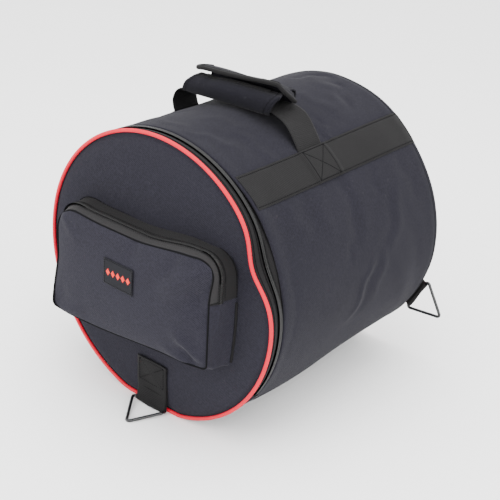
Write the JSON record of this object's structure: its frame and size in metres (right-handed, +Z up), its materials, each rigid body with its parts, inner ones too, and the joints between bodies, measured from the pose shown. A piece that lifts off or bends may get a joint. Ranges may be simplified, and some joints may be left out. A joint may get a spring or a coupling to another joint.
{
  "type": "padded tom tom drum bag",
  "caption": "Padded round carrying bag for a tom tom drum, lying on its side, with a zipped lid, a zipped lid pocket, a wrapped handle and strap rings.",
  "frame": {"origin": "middle of the flat that the bag lies on", "axes": "+Z up, the lid faces -Y, the bag's round axis runs along Y"},
  "size_m": [0.4074, 0.3979, 0.396],
  "materials": {
    "shell_cloth": "dense matt woven polyester",
    "lid_cloth": "dense matt woven polyester",
    "pocket_cloth": "dense matt woven polyester",
    "tape_cloth": "smooth woven tape",
    "webbing": "ribbed woven webbing",
    "lining_cloth": "brushed lining",
    "padding": "closed-cell foam",
    "piping": "smooth covered cord",
    "zip_teeth": "moulded coil",
    "label": "smooth patch with a plain stitched motif",
    "grip_cloth": "dense matt woven polyester",
    "touch_tape": "hook and loop tape",
    "ring_metal": "gloss black wire",
    "slider_metal": "satin black casting"
  },
  "bodies": {
    "shell": {"wall_outer": "shell_cloth", "wall_foam": "padding", "wall_lining": "lining_cloth", "mouth_binding": "tape_cloth", "rear_panel_outer": "shell_cloth", "rear_panel_foam": "padding", "rear_panel_lining": "lining_cloth", "rear_seam_binding": "tape_cloth", "rear_piping": "piping", "rear_lower_piping": "piping", "band_right": "webbing", "band_left": "webbing", "strap_ends": "webbing", "wall_zip_tape": "tape_cloth", "wall_zip_teeth": "zip_teeth", "zip_lower_ends": "zip_teeth", "zip_end_stops": "slider_metal", "hinge_gusset": "shell_cloth", "lid_lower_outer": "lid_cloth", "lid_lower_foam": "padding", "lid_lower_lining": "lining_cloth", "lid_lower_piping": "piping", "front_tab": "webbing", "rear_tab_right": "webbing", "rear_tab_left": "webbing"},
    "lid": {"lid_outer": "lid_cloth", "lid_foam": "padding", "lid_lining": "lining_cloth", "lid_binding": "tape_cloth", "lid_piping": "piping", "lid_gusset": "lid_cloth", "lid_zip_tape": "tape_cloth", "lid_zip_teeth": "zip_teeth", "pocket_front_lower": "pocket_cloth", "pocket_gusset": "pocket_cloth", "pocket_back_band": "tape_cloth", "pocket_zip_tape": "tape_cloth", "pocket_zip_teeth": "zip_teeth", "label_patch": "label"},
    "pocket_flap": {"label_top": "label", "flap_front": "pocket_cloth", "flap_band": "tape_cloth", "flap_zip_tape": "tape_cloth", "flap_zip_teeth": "zip_teeth"},
    "handle": {"handle_strap": "webbing", "grip_wrap": "grip_cloth", "grip_padding": "padding", "grip_loop_strip": "touch_tape"},
    "handle_wrap_flap": {"grip_flap": "grip_cloth", "grip_flap_binding": "webbing", "grip_hook_strip": "touch_tape"},
    "front_ring": {"front_ring": "ring_metal"},
    "rear_right_ring": {"rear_ring_right": "ring_metal"},
    "rear_left_ring": {"rear_ring_left": "ring_metal"},
    "zip_slider": {"zip_slider": "slider_metal"},
    "zip_pull": {"zip_pull": "slider_metal"},
    "pocket_slider": {"pocket_slider": "slider_metal"},
    "pocket_pull": {"pocket_pull": "slider_metal"}
  },
  "joints": [
    {"name": "lid_hinge", "type": "hinge", "parent": "shell", "child": "lid", "pos_m": [0, -0.17215, 0.09478], "axis": [1, 0, 0], "range_deg": [0, 105]},
    {"name": "zip_slider_travel", "type": "hinge", "parent": "shell", "child": "zip_slider", "pos_m": [0, -0.154, 0.1765], "axis": [0, 1, 0], "range_deg": [0, 241]},
    {"name": "zip_pull_swing", "type": "hinge", "parent": "zip_slider", "child": "zip_pull", "pos_m": [-0.16009, -0.154, 0.0822], "axis": [0, 1, 0], "range_deg": [0, 150]},
    {"name": "pocket_flap_hinge", "type": "hinge", "parent": "lid", "child": "pocket_flap", "pos_m": [0, -0.213, 0.203], "axis": [1, 0, 0], "range_deg": [0, 65]},
    {"name": "pocket_slider_travel", "type": "hinge", "parent": "pocket_flap", "child": "pocket_slider", "pos_m": [-0.084, -0.1932, 0.205], "axis": [0, 1, 0], "range_deg": [0, 80]},
    {"name": "pocket_pull_swing", "type": "hinge", "parent": "pocket_slider", "child": "pocket_pull", "pos_m": [-0.13512, -0.1932, 0.21037], "axis": [0, 1, 0], "range_deg": [0, 150]},
    {"name": "handle_lift", "type": "slide", "parent": "shell", "child": "handle", "axis": [0, 0, 1], "range_m": [0, 0.024], "deforming": ["handle_strap"]},
    {"name": "wrap_flap_hinge", "type": "hinge", "parent": "handle", "child": "handle_wrap_flap", "pos_m": [0, 0.0025, 0.3863], "axis": [-1, 0, 0], "range_deg": [0, 95]},
    {"name": "front_ring_swing", "type": "hinge", "parent": "shell", "child": "front_ring", "pos_m": [0, -0.1763, 0.0043], "axis": [-1, 0, 0], "range_deg": [0, 90]},
    {"name": "rear_right_ring_swing", "type": "hinge", "parent": "shell", "child": "rear_right_ring", "pos_m": [0.1637, 0.173, 0.08946], "axis": [-0.4695, 0, -0.8829], "range_deg": [-95, 88]},
    {"name": "rear_left_ring_swing", "type": "hinge", "parent": "shell", "child": "rear_left_ring", "pos_m": [-0.1637, 0.173, 0.08946], "axis": [-0.4695, 0, 0.8829], "range_deg": [-95, 88]}
  ]
}
